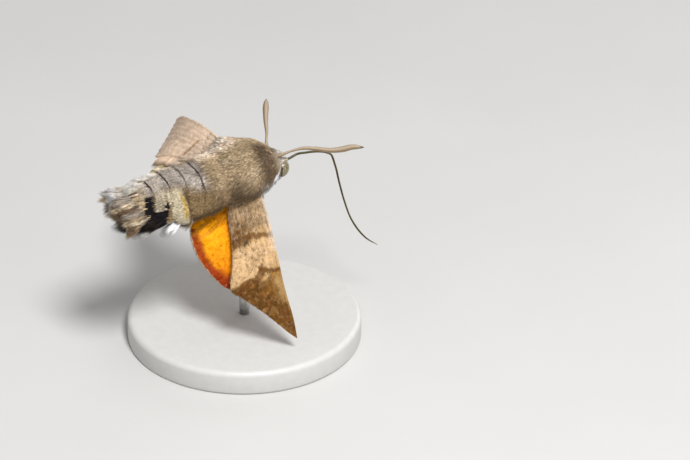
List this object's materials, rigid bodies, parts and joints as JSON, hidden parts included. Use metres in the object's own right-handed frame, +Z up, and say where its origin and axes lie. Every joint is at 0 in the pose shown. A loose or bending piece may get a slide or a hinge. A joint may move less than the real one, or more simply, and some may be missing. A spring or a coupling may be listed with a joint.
{
  "type": "hawk moth model",
  "caption": "Life-size day-flying hawk moth in flight, wings lowered, feelers spread and tongue uncoiled, held by a disc base and an upright rod.",
  "frame": {"origin": "middle of the underside of the stand's base", "axes": "+Z up, +X the way the head points, +Y to the moth's left; the body banks 26.6 degrees to its right about +X"},
  "size_m": [0.0454, 0.0401, 0.0332],
  "materials": {
    "fur": "short grey-brown fur",
    "abdomen_fur": "grey-brown fur with dark rings and pale side tufts",
    "tail_brush": "grey-brown hair scales with pale tips",
    "forewing": "matt brown scales",
    "hindwing": "matt orange scales",
    "horn": "matt horn",
    "eye": "glossy, finely faceted",
    "palp_fur": "short white fur",
    "tongue": "satin dark brown",
    "leg": "pale scales",
    "stand_paint": "satin, pale neutral",
    "stand_steel": "satin"
  },
  "bodies": {
    "root": {"thorax": "fur", "head": "fur", "abdomen": "abdomen_fur", "tail_fan": "tail_brush", "forewing_left": "forewing", "forewing_right": "forewing", "hindwing_left": "hindwing", "hindwing_right": "hindwing", "eye_left": "eye", "eye_right": "eye", "antenna_left": "horn", "antenna_right": "horn", "palp_left": "palp_fur", "palp_right": "palp_fur", "proboscis": "tongue", "leg_fore_left": "leg", "leg_fore_right": "leg", "leg_mid_left": "leg", "leg_mid_right": "leg", "leg_hind_left": "leg", "leg_hind_right": "leg", "stand_base": "stand_paint", "stand_rod": "stand_steel"}
  },
  "joints": []
}
